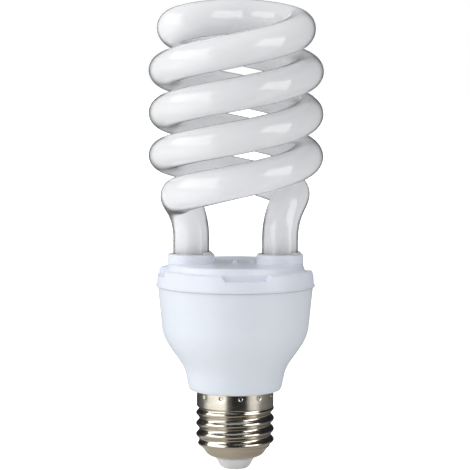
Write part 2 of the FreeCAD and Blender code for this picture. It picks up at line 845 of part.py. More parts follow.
def transistor(place):
    x, y = place
    top = board_z - transistor_gap
    half = transistor_w / 2.0
    side = transistor_t / 2.0
    body = box(x - half, x + half, y - side, y + side, top - transistor_h, top)
    hole_z = top - transistor_h + 2.0 * transistor_hole_r
    hole = Part.makeCylinder(transistor_hole_r, transistor_w, Vector(x, y - half, hole_z), Vector(0, 1, 0))
    places = [(x + step * transistor_pitch, y) for step in (-1, 0, 1)]
    return with_leads(body.cut(hole), places, top - side), places


def upright_axials(places, radius, length, fold):
    return [upright_axial(place, radius, length, fold) for place in places]


def upright_axial(place, radius, length, fold):
    """An axial part on end: one lead straight up, the other folded up beside the body."""
    x, y = place
    top = board_z - axial_gap
    bottom = top - length
    low = bottom - axial_drop
    body = cylinder(radius, bottom, top, x, y)
    body = body.makeFillet(radius / 4.0, flat_rims(body))
    folded = bent_bar([Vector(x, y, bottom + radius / 2.0), Vector(x, y, low), Vector(x + fold, y, low),
                       Vector(x + fold, y, lead_top_z)], lead_r, lead_r * 1.2)
    return with_leads(body.fuse(folded), [place], top - radius / 2.0), [place, (x + fold, y)]


def film_capacitor(place, size):
    x, y = place
    width, depth, height = size
    top = board_z - film_gap
    body = box(x - width / 2.0, x + width / 2.0, y - depth / 2.0, y + depth / 2.0, top - height, top)
    body = body.makeFillet(depth / 5.0, body.Edges)
    spread = width / 2.0 - film_lead_in
    places = [(x - spread, y), (x + spread, y)]
    return with_leads(body, places, top - depth / 4.0), places


def disc_part(place, radius, thickness):
    """A ceramic disc on edge, flat across the X axis."""
    x, y = place
    z = board_z - radius - disc_gap
    disc = Part.makeCylinder(radius, thickness, Vector(x - thickness / 2.0, y, z), Vector(1, 0, 0))
    rims = [e for e in disc.Edges if e.Closed and e.BoundBox.XLength < 0.01]
    disc = disc.makeFillet(thickness / 3.0, rims)
    spread = radius * 0.6
    places = [(x, y - spread), (x, y + spread)]
    return with_leads(disc, places, z), places


def filter_coil(place):
    """Drum core and its winding."""
    x, y = place
    top = board_z - drum_gap
    low = top - drum_h
    core = cylinder(drum_neck_r, low, top, x, y)
    core = core.fuse(cylinder(drum_r, low, low + drum_flange, x, y))
    core = core.fuse(cylinder(drum_r, top - drum_flange, top, x, y))
    places = [(x - drum_pitch / 2.0, y), (x + drum_pitch / 2.0, y)]
    core = with_leads(core.removeSplitter(), places, top - drum_flange / 2.0)
    low_coil = low + drum_flange + drum_winding_fit
    top_coil = top - drum_flange - drum_winding_fit
    winding = cylinder(drum_r - drum_winding_in, low_coil, top_coil, x, y)
    winding = winding.cut(cylinder(drum_neck_r + drum_winding_fit, low, top, x, y))
    return core, winding.Solids[0], places


# Board, pins and wires.

def board_r():
    return tongue_low_r() - tongue_wall + board_under_tongue_w


def post_places():
    return [(side * (leg_x + step), post_y) for side in (-1, 1) for step in (-post_spread, post_spread)]


def wire_posts():
    """Two pins on the board beside each leg."""
    top = board_top_z + post_above
    return [cylinder(post_r, board_z - post_below, top, x, y) for x, y in post_places()]


def filament_wires():
    """A bare wire from each side of each tube end to its pin."""
    solids = []
    start_z = leg_end_z - seal_gap
    wrap_z = board_top_z + post_above - 3.0 * bare_wire_r
    touch_y = post_y + post_r + bare_wire_r + seal_gap
    for x, y in post_places():
        leg = leg_x if x > 0 else -leg_x
        exit_x = leg + (filament_exit_step if x > leg else -filament_exit_step)
        route = [Vector(exit_x, filament_exit_y, start_z), Vector(exit_x, filament_exit_y, wrap_z),
                 Vector(x, touch_y, wrap_z)]
        solids.append(bent_bar(route, bare_wire_r, bare_wire_bend))
    return solids


def live_wire():
    """Insulated wire from the centre contact up past the storage capacitor."""
    x, y = live_place
    route = [Vector(0, 0, rivet_top_z + seal_gap), Vector(0, 0, spigot_end_z - wire_bend),
             Vector(x, y, wire_straight_z), Vector(x, y, lead_top_z)]
    return bent_bar(route, wire_r, wire_bend)


def neutral_wire():
    """Insulated wire from the inside of the screw shell, clear of thread and spigot, up past the capacitor."""
    x, y = neutral_place
    thread_y = thread_crest_r - thread_depth - shell_t - wire_r - spigot_thread_gap
    neck_y = min(thread_y, spigot_r - spigot_wall - wire_r - spigot_thread_gap)
    route = [Vector(x, thread_y, thread_crest_z - thread_pitch), Vector(x, neck_y, spigot_end_z),
             Vector(x, y, wire_straight_z), Vector(x, y, lead_top_z)]
    return bent_bar(route, wire_r, wire_bend)


def circuit_board(lead_places):
    board = cylinder(board_r(), board_z, board_top_z)
    sizes = [(lead_places, lead_r + lead_fit), (post_places(), post_r + post_fit),
             ([live_place, neutral_place], wire_r + wire_fit)]
    holes = []
    for places, radius in sizes:
        holes += [cylinder(radius, board_z - 1, board_top_z + 1, x, y) for x, y in places]
    return board.cut(Part.makeCompound(holes)).Solids[0]


def components():
    """Export what hangs under the board and give back the places of the leads."""
    groups = {
        "storage_capacitor": [storage_capacitor()],
        "switching_transistors": [transistor(place) for place in transistor_places],
        "rectifier_diodes": upright_axials(diode_places, diode_r, diode_len, diode_fold),
        "resistors": upright_axials(resistor_places, resistor_r, resistor_len, resistor_fold),
        "fuse_resistor": upright_axials([fuse_place], fuse_r, fuse_len, fuse_fold),
        "trigger_diac": upright_axials([diac_place], diac_r, diac_len, diac_fold),
        "resonant_capacitor": [film_capacitor(resonant_place, resonant_size)],
        "coupling_capacitor": [film_capacitor(coupling_place, coupling_size)],
        "snubber_capacitor": [disc_part(snubber_place, snubber_r, snubber_t)],
        "start_thermistor": [disc_part(thermistor_place, thermistor_r, thermistor_t)]}
    places = []
    for name, made in groups.items():
        export(name, [solid for solid, spots in made])
        for solid, spots in made:
            places += spots
    cores, bobbin, coil, pins = choke()
    export("choke_core", cores)
    export("choke_bobbin", [bobbin])
    export("choke_winding", [coil])
    ring, windings = drive_transformer()
    export("drive_transformer_ring", [ring])
    export("drive_transformer_winding", windings)
    core, winding, spots = filter_coil(drum_place)
    export("filter_coil_core", [core])
    export("filter_coil_winding", [winding])
    return places + pins + spots


def build():
    os.makedirs(PARTS, exist_ok=True)
    export("glass_tube", [glass_tube()])
    export("tube_cover", [tube_cover()])
    export("leg_seals", leg_seals())
    export("ballast_housing", [ballast_housing()])
    export("screw_shell", [screw_shell()])
    export("cap_insulator", [cap_insulator()])
    export("centre_contact", [centre_contact()])
    export("circuit_board", [circuit_board(components())])
    export("wire_posts", wire_posts())
    export("filament_wires", filament_wires())
    export("live_wire", [live_wire()])
    export("neutral_wire", [neutral_wire()])


build()
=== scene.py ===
"""Looks of a spiral energy saving bulb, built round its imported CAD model. Metres, same frame as the CAD."""
import math

import bmesh
import bpy
from mathutils import Euler, Matrix, Vector


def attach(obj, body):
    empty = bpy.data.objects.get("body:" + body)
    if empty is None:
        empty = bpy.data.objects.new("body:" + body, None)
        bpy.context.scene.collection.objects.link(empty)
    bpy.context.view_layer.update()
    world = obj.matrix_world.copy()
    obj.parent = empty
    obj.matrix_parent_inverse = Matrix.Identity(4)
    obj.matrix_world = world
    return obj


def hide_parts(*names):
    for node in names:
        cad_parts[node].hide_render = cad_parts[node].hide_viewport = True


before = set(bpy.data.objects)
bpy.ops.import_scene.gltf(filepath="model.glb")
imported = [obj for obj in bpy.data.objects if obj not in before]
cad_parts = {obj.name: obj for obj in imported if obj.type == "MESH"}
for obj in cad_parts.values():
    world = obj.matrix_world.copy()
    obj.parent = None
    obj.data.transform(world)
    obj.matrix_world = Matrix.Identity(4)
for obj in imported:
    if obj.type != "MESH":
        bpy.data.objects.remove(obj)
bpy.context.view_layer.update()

scene = bpy.context.scene
MM = 0.001

# The camera, fitted to the photo. Angles in degrees, place in metres.
SENSOR_MM = 36.0
FOCAL_PX = 2386.0
PICTURE_PX = 470.0
CAMERA_PLACE = (0.0, -0.8, 0.1514)
CAMERA_DIP = 5.15
CAMERA_TURN = 0.016
CAMERA_ROLL = 0.2
CLIP_START = 0.05
CLIP_END = 50.0

# Sizes in millimetres, the same as the CAD's.
boss_top_z = 73.0
leg_x = 14.95
leg_r = 6.1
coil_radial_r = 6.15
coil_axial_r = 5.55
bridge_r = 5.95
section_blend = 75.0
coil_r = 23.15
coil_top_r = 20.6
coil_end_r = 21.0
coil_lead = 28.45
coil_angle = 690.0
coil_widen_angle = 180.0
coil_narrow_angle = 110.0
coil_end_drop = 0.4
coil_above_boss = 21.17
arm_top_z = boss_top_z + coil_above_boss + coil_lead * coil_angle / 360.0
bridge_rise = 3.8
bridge_z = arm_top_z + bridge_rise
bridge_heading = 40.0
bridge_handle = 11.5
arm_handle = 9.0
leg_straight_rise = 5.0
leg_straight_z = boss_top_z + leg_straight_rise
leg_top_handle = 6.0
leg_bend_handle = 12.0
leg_end_z = 62.4
nipple_r = 1.9
nipple_len = 2.2
foot_round = 0.8
nipple = nipple_r / leg_r
nipple_end = foot_round + nipple_len
# A leg's rounded foot and the nipple under it: depth below the start of the round, radius as a share of the leg's.
foot_outline = [(0.35, 0.985), (0.65, 0.93), (foot_round, 0.8), (foot_round, nipple * 1.25),
                (foot_round + 0.3, nipple), (nipple_end - 0.3, nipple), (nipple_end - 0.05, nipple * 0.8)]
tube_sides = 48
coil_steps = 276
bend_steps = 24
foot_steps = 8

# The tube's finish, in the order of the table FINISHES below.
PHOSPHOR = ((0.92, 0.915, 0.922), (0.95, 0.945, 0.952), 60.0, (0.55, 0.65), 900.0, 4e-6, 0.0, 1.0)
# Painted shade: a dark line painted into the tube's colour where it is seen edge on, for the clear wall's dark edge.
# Facing values where the line starts and where it is full, on the legs and on the coil.
EDGE_SHADE_START = (0.42, 0.64)
EDGE_SHADE_END = (0.66, 0.92)
LEG_EDGE_SHADE_Z = 84.0
COIL_EDGE_SHADE_Z = 96.0
PAINTED_EDGE_SHADE_COLOUR = (0.11, 0.115, 0.105, 1.0)
# How far a point of the coil looks outward or forward where the painted line starts and where it is whole.
EDGE_SHADE_REACH_START = -0.05
EDGE_SHADE_REACH_WHOLE = 0.5

shell_t = 0.3
thread_pitch = 25.4 / 7.0
thread_crest_r = 13.2
thread_depth = 1.1
thread_crest_z = 17.2
thread_top_z = 20.6
thread_top_fade = 1.0
thread_low_z = 9.0
thread_low_fade = 1.5
skirt_r = 13.0
skirt_top_z = 26.5
dome_outline = [(6.7, 3.8), (7.7, 4.17), (8.55, 4.5), (9.5, 5.1), (10.4, 6.3), (11.1, 7.2), (12.1, 8.0),
                (12.9, 8.9), (13.2, 9.9)]
stake_count = 12
stake_first_angle = -81.4
stake_drop = 1.1
stake_r = 0.75
stake_depth = 0.5
dish_r = 2.0
dish_depth = 0.09
cap_sides = 384
cap_step = 0.15
skirt_steps = 44
dome_steps = 5
inner_stride = 6
inner_lift = 0.02

# Painted shade in the joint between cover and housing: its height, half width and how dark it makes the colour.
seam_z = 62.2
seam_half = 0.45
SEAM_SHADE = 0.7


# Camera.

def make_camera():
    data = bpy.data.cameras.new("camera")
    cam = bpy.data.objects.new("camera", data)
    scene.collection.objects.link(cam)
    data.sensor_width = SENSOR_MM
    data.lens = FOCAL_PX / PICTURE_PX * SENSOR_MM
    data.clip_start = CLIP_START
    data.clip_end = CLIP_END
    cam.location = CAMERA_PLACE
    aim = Euler((math.radians(90.0 - CAMERA_DIP), 0.0, math.radians(CAMERA_TURN))).to_matrix()
    cam.rotation_euler = (aim @ Matrix.Rotation(math.radians(CAMERA_ROLL), 3, "Z")).to_euler()
    scene.camera = cam


# Node materials.

SUBSURFACE_SCALE = 0.03
# The part of a noise's range that a colour or a roughness follows.
NOISE_LOW = 0.3
NOISE_HIGH = 0.7


class Nodes:
    """A short way to write a node tree."""

    def __init__(self, tree, keep=False):
        self.tree = tree
        if not keep:
            tree.nodes.clear()

    def add(self, kind, **values):
        node = self.tree.nodes.new("ShaderNode" + kind)
        for key, value in values.items():
            setattr(node, key, value)
        return node

    def link(self, a, b):
        self.tree.links.new(a, b)

    def noise(self, scale, detail=3.0, stretch=(1.0, 1.0, 1.0)):
        coord = self.add("TexCoord")
        place = self.add("Mapping")
        place.inputs["Scale"].default_value = stretch
        self.link(coord.outputs["Object"], place.inputs["Vector"])
        tex = self.add("TexNoise")
        tex.inputs["Scale"].default_value = scale
        tex.inputs["Detail"].default_value = detail
        self.link(place.outputs["Vector"], tex.inputs["Vector"])
        return tex.outputs["Fac"]

    def ramp(self, fac, low, high):
        node = self.add("ValToRGB")
        node.color_ramp.elements[0].position = NOISE_LOW
        node.color_ramp.elements[1].position = NOISE_HIGH
        node.color_ramp.elements[0].color = (*low, 1.0)
        node.color_ramp.elements[1].color = (*high, 1.0)
        self.link(fac, node.inputs["Fac"])
        return node.outputs["Color"]

    def spread(self, fac, low, high):
        node = self.add("MapRange")
        node.inputs["From Min"].default_value = NOISE_LOW
        node.inputs["From Max"].default_value = NOISE_HIGH
        node.inputs["To Min"].default_value = low
        node.inputs["To Max"].default_value = high
        self.link(fac, node.inputs["Value"])
        return node.outputs["Result"]

    def bump(self, height, distance, strength=1.0):
        node = self.add("Bump")
        node.inputs["Strength"].default_value = strength
        node.inputs["Distance"].default_value = distance
        self.link(height, node.inputs["Height"])
        return node.outputs["Normal"]


def finish_material(name, low, high, patch, rough, grain, grain_depth, metallic, coat, coat_rough, subsurface=0.0):
    """Colour varies from low to high in patches, roughness with it, and a fine grain lifts the surface."""
    mat = bpy.data.materials.new(name)
    mat.use_nodes = True
    n = Nodes(mat.node_tree)
    shader = n.add("BsdfPrincipled")
    out = n.add("OutputMaterial")
    n.link(shader.outputs["BSDF"], out.inputs["Surface"])
    patches = n.noise(patch, 4.0)
    n.link(n.ramp(patches, low, high), shader.inputs["Base Color"])
    n.link(n.spread(patches, *rough), shader.inputs["Roughness"])
    n.link(n.bump(n.noise(grain), grain_depth), shader.inputs["Normal"])
    shader.inputs["Metallic"].default_value = metallic
    shader.inputs["Coat Weight"].default_value = coat
    shader.inputs["Coat Roughness"].default_value = coat_rough
    if subsurface:
        shader.inputs["Subsurface Weight"].default_value = subsurface
        shader.inputs["Subsurface Scale"].default_value = SUBSURFACE_SCALE
        shader.inputs["Subsurface Radius"].default_value = (1.0, 1.0, 1.0)
    return mat


def wear(obj, mat):
    """Give every slot of an object this material."""
    if not obj.material_slots:
        obj.data.materials.append(mat)
    for s in obj.material_slots:
        s.material = mat


# Mesh helpers.

def make_object(name, verts, faces, mat):
    mesh = bpy.data.meshes.new(name)
    mesh.from_pydata([tuple(c * MM for c in v) for v in verts], [], faces)
    mesh.validate()
    obj = bpy.data.objects.new(name, mesh)
    scene.collection.objects.link(obj)
    bm = bmesh.new()
    bm.from_mesh(mesh)
    bmesh.ops.recalc_face_normals(bm, faces=bm.faces)
    bm.to_mesh(mesh)
    bm.free()
    for p in mesh.polygons:
        p.use_smooth = True
    mesh.materials.append(mat)
    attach(obj, "root")
    return obj


def skin(rings, close_rows=False, first_pole=None, last_pole=None):
    """Faces between closed rings of points that have the same number of points."""
    n = len(rings[0])
    verts = [p for ring in rings for p in ring]
    faces = []
    rows = len(rings)
    for i in range(rows if close_rows else rows - 1):
        a = i * n
        b = ((i + 1) % rows) * n
        for k in range(n):
            faces.append((a + k, a + (k + 1) % n, b + (k + 1) % n, b + k))
    if first_pole is not None:
        verts.append(first_pole)
        pole = len(verts) - 1
        faces += [(pole, (k + 1) % n, k) for k in range(n)]
    if last_pole is not None:
        verts.append(last_pole)
        pole = len(verts) - 1
        base = (rows - 1) * n
        faces += [(pole, base + k, base + (k + 1) % n) for k in range(n)]
    return verts, faces


def smoothstep(t):
    t = min(max(t, 0.0), 1.0)
    return t * t * (3.0 - 2.0 * t)


def polar(r, degrees, z):
    a = math.radians(degrees)
    return Vector((r * math.cos(a), r * math.sin(a), z))


# Glass tube.

def arm_point(angle):
    widen = smoothstep(angle / coil_widen_angle)
    narrow = smoothstep((angle - coil_angle + coil_narrow_angle) / coil_narrow_angle)
    r = coil_top_r + (coil_r - coil_top_r) * widen + (coil_end_r - coil_r) * narrow
    return polar(r, -angle, arm_top_z - coil_lead * angle / 360.0 - coil_end_drop * narrow)


def arm_heading(angle):
    return (arm_point(angle + 0.5) - arm_point(angle - 0.5)).normalized()


def bezier(p0, p1, p2, p3, t):
    s = 1.0 - t
    return p0 * s ** 3 + p1 * (3 * s * s * t) + p2 * (3 * s * t * t) + p3 * t ** 3


def half_line():
    """Points from the middle of the bridge to the foot of one leg, with the coil angle at each."""
    up = Vector((0, 0, 1))
    middle = Vector((0, 0, bridge_z))
    out = polar(bridge_handle, bridge_heading, 0.0)
    start = arm_point(0.0)
    back = arm_heading(0.0) * arm_handle
    end = arm_point(coil_angle)
    ahead = arm_heading(coil_angle) * leg_top_handle
    foot = Vector((leg_x, 0, leg_straight_z))
    points = [(bezier(middle, middle + out, start - back, start, i / bend_steps), 0.0) for i in range(bend_steps)]
    points += [(arm_point(coil_angle * i / coil_steps), coil_angle * i / coil_steps) for i in range(coil_steps)]
    points += [(bezier(end, end + ahead, foot + up * leg_bend_handle, foot, i / bend_steps), coil_angle)
               for i in range(bend_steps)]
    leg_len = leg_end_z + foot_round - leg_straight_z
    points += [(Vector((leg_x, 0, leg_straight_z + leg_len * i / foot_steps)), coil_angle)
               for i in range(foot_steps + 1)]
    return points


def section_radii(angle):
    start = smoothstep(angle / section_blend)
    end = smoothstep((angle - coil_angle + section_blend) / section_blend)
    radial = bridge_r + (coil_radial_r - bridge_r) * start + (leg_r - coil_radial_r) * end
    axial = bridge_r + (coil_axial_r - bridge_r) * start + (leg_r - coil_axial_r) * end
    return radial, axial


def tube_rings(sides):
    samples = half_line()
    points = [p for p, a in samples]
    up = Vector((0, 0, 1))
    axial = up
    half = []
    for i, (point, angle) in enumerate(samples):
        before = points[i - 1] if i else Vector((-points[1].x, -points[1].y, points[1].z))
        after = points[i + 1] if i + 1 < len(points) else point - up
        heading = (after - before).normalized()
        reference = up if angle < coil_angle else axial
        axial = (reference - heading * reference.dot(heading)).normalized()
        radial = axial.cross(heading)
        wide, high = section_radii(angle)
        half.append((point, radial * wide, axial * high))
    for drop, scale in foot_outline:
        half.append((Vector((leg_x, 0, leg_end_z + foot_round - drop)), half[-1][1].normalized() * leg_r * scale,
                     half[-1][2].normalized() * leg_r * scale))
    back = [(Vector((-c.x, -c.y, c.z)), Vector((a.x, a.y, -a.z)), Vector((-d.x, -d.y, d.z))) for c, a, d in half[1:]]
    rings = []
    for c, a, d in back[::-1] + half:
        rings.append([c + a * math.cos(2 * math.pi * k / sides) + d * math.sin(2 * math.pi * k / sides)
                      for k in range(sides)])
    foot = leg_end_z - nipple_len
    return rings, Vector((-leg_x, 0, foot)), Vector((leg_x, 0, foot))


def edge_shade_outer_side(n, place, part, line):
    """Keeps the painted edge shade to the outline of the coil: it fades on the side that faces the bulb's axis, and
    above and below the tube where the coil turns away to the left and right. It is kept whole on the legs."""
    flat = n.add("VectorMath", operation="MULTIPLY")
    flat.inputs[1].default_value = (1.0, 1.0, 0.0)
    n.link(place.outputs["Position"], flat.inputs[0])
    way = n.add("VectorMath", operation="NORMALIZE")
    n.link(flat.outputs["Vector"], way.inputs[0])
    outward = n.add("VectorMath", operation="DOT_PRODUCT")
    n.link(place.outputs["Normal"], outward.inputs[0])
    n.link(way.outputs["Vector"], outward.inputs[1])
    split = n.add("SeparateXYZ")
    n.link(way.outputs["Vector"], split.inputs[0])
    front = n.add("Math", operation="ABSOLUTE")
    n.link(split.outputs["Y"], front.inputs[0])
    reach = n.add("Math", operation="ADD")
    n.link(outward.outputs["Value"], reach.inputs[0])
    n.link(front.outputs[0], reach.inputs[1])
    legs = n.add("MapRange")
    legs.inputs["From Min"].default_value = LEG_EDGE_SHADE_Z * MM
    legs.inputs["From Max"].default_value = COIL_EDGE_SHADE_Z * MM
    legs.inputs["To Min"].default_value = 1.0
    legs.inputs["To Max"].default_value = 0.0
    n.link(part.outputs["Z"], legs.inputs["Value"])
    keep = n.add("MapRange")
    keep.inputs["From Min"].default_value = EDGE_SHADE_REACH_START
    keep.inputs["From Max"].default_value = EDGE_SHADE_REACH_WHOLE
    n.link(reach.outputs[0], keep.inputs["Value"])
    n.link(legs.outputs["Result"], keep.inputs["To Min"])
    share = n.add("Math", operation="MULTIPLY")
    n.link(line, share.inputs[0])
    n.link(keep.outputs["Result"], share.inputs[1])
    return share.outputs[0]


def build_tube():
    mat = finish_material("phosphor_glass", *PHOSPHOR, coat_rough=0.0, subsurface=1.0)
    n = Nodes(mat.node_tree, keep=True)
    shader = n.tree.nodes["Principled BSDF"]
    shader.inputs["Specular IOR Level"].default_value = 0.0
    body = shader.inputs["Base Color"].links[0].from_socket
    view = n.add("LayerWeight")
    place = n.add("NewGeometry")
    part = n.add("SeparateXYZ")
    n.link(place.outputs["Position"], part.inputs[0])
    edge = n.add("MapRange", interpolation_type="SMOOTHSTEP")
    n.link(view.outputs["Facing"], edge.inputs["Value"])
    for socket, (leg, coil) in (("From Min", EDGE_SHADE_START), ("From Max", EDGE_SHADE_END)):
        span = n.add("MapRange")
        span.inputs["From Min"].default_value = LEG_EDGE_SHADE_Z * MM
        span.inputs["From Max"].default_value = COIL_EDGE_SHADE_Z * MM
        span.inputs["To Min"].default_value = leg
        span.inputs["To Max"].default_value = coil
        n.link(part.outputs["Z"], span.inputs["Value"])
        n.link(span.outputs["Result"], edge.inputs[socket])
    # Painted shade: the dark edge line is mixed into the tube's base colour here.
    edge_shade_mix = n.add("Mix", data_type="RGBA")
    n.link(edge_shade_outer_side(n, place, part, edge.outputs["Result"]), edge_shade_mix.inputs["Factor"])
    n.link(body, edge_shade_mix.inputs["A"])
    edge_shade_mix.inputs["B"].default_value = PAINTED_EDGE_SHADE_COLOUR
    n.link(edge_shade_mix.outputs["Result"], shader.inputs["Base Color"])
    rings, low, high = tube_rings(tube_sides)
    verts, faces = skin(rings, first_pole=low, last_pole=high)
    tube = make_object("spiral_tube", verts, faces, mat)
    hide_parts("glass_tube")


# Screw cap.

def catmull(points, count):
    """A smooth line through points given as (r, z)."""
    line = []
    last = len(points) - 1
    for i in range(last):
        p0, p1, p2, p3 = (points[max(i - 1, 0)], points[i], points[i + 1], points[min(i + 2, last)])
        for k in range(count):
            t = k / count
            line.append(tuple(0.5 * (2 * b + (c - a) * t + (2 * a - 5 * b + 4 * c - d) * t * t
                                     + (3 * b - a - 3 * c + d) * t ** 3)
                              for a, b, c, d in zip(p0, p1, p2, p3)))
    return line + [points[-1]]


def thread_drop(degrees, z):
    """How far the thread is pressed in below its crest at an angle and height."""
    top = 1.0 - smoothstep((z - thread_top_z) / thread_top_fade)
    low = smoothstep((z - thread_low_z + thread_low_fade) / thread_low_fade)
    phase = 2.0 * math.pi * ((z - thread_crest_z) / thread_pitch - degrees / 360.0)
    return thread_depth * min(top, low) * (1.0 - math.cos(phase)) / 2.0


def stake_drop_at(degrees, z):
    """Depth of the round stake marks near the skirt's top."""
    step = 360.0 / stake_count
    off = (degrees - stake_first_angle + step / 2.0) % step - step / 2.0
    d2 = (skirt_r * math.radians(off)) ** 2 + (z - skirt_top_z + stake_drop) ** 2
    dish = dish_depth * (1.0 - smoothstep(math.sqrt(d2) / dish_r))
    if d2 >= stake_r ** 2:
        return dish
    depth = math.sqrt(stake_r ** 2 - d2) - (stake_r - stake_depth)
    return max(depth, dish)


def build_cap():
    mat = nickel_material()
    outline = catmull(dome_outline, dome_steps)
    z = outline[-1][1]
    while z < thread_top_z + thread_top_fade:
        z += cap_step
        drop = smoothstep((z - thread_top_z) / thread_top_fade)
        outline.append((thread_crest_r + (skirt_r - thread_crest_r) * drop, z))
    low = z
    outline += [(skirt_r, low + (skirt_top_z - low) * i / skirt_steps) for i in range(1, skirt_steps + 1)]
    turn = [360.0 * k / cap_sides for k in range(cap_sides)]
    outer = []
    for r, z in outline:
        outer.append([polar(r - thread_drop(a, z) - stake_drop_at(a, z), a, z) for a in turn])
    top = [polar(skirt_r - shell_t, a, skirt_top_z) for a in turn]
    inner = []
    for r, z in outline[::-inner_stride]:
        inner.append([polar(r - shell_t - thread_drop(a, z), a, z + inner_lift) for a in turn])
    verts, faces = skin(outer + [top] + inner[1:], close_rows=True)
    cap = make_object("cap_shell", verts, faces, mat)
    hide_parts("screw_shell")


# The nickel's noises: scale, detail, stretch.
NICKEL_PATCHES = (110.0, 5.0, (1.0, 1.0, 2.5))
NICKEL_WEAR = (260.0, 4.0, (1.0, 1.0, 3.0))
NICKEL_GRAIN = (500.0, 3.0, (1.0, 1.0, 6.0))
NICKEL_GRAIN_DEPTH = 2e-5
NICKEL_GRAIN_SHARE = 0.6
NICKEL_DARK = (0.555, 0.515, 0.445)
NICKEL_LIGHT = (0.64, 0.595, 0.515)
NICKEL_ROUGH = (0.13, 0.22)


def nickel_material():
    mat = bpy.data.materials.new("nickel_shell")
    mat.use_nodes = True
    n = Nodes(mat.node_tree)
    shader = n.add("BsdfPrincipled")
    out = n.add("OutputMaterial")
    n.link(shader.outputs["BSDF"], out.inputs["Surface"])
    n.link(n.ramp(n.noise(*NICKEL_PATCHES), NICKEL_DARK, NICKEL_LIGHT), shader.inputs["Base Color"])
    n.link(n.spread(n.noise(*NICKEL_WEAR), *NICKEL_ROUGH), shader.inputs["Roughness"])
    n.link(n.bump(n.noise(*NICKEL_GRAIN), NICKEL_GRAIN_DEPTH, NICKEL_GRAIN_SHARE), shader.inputs["Normal"])
    shader.inputs["Metallic"].default_value = 1.0
    return mat


PLASTIC_GLOSS = 0.3
COAT_ROUGH = 0.12

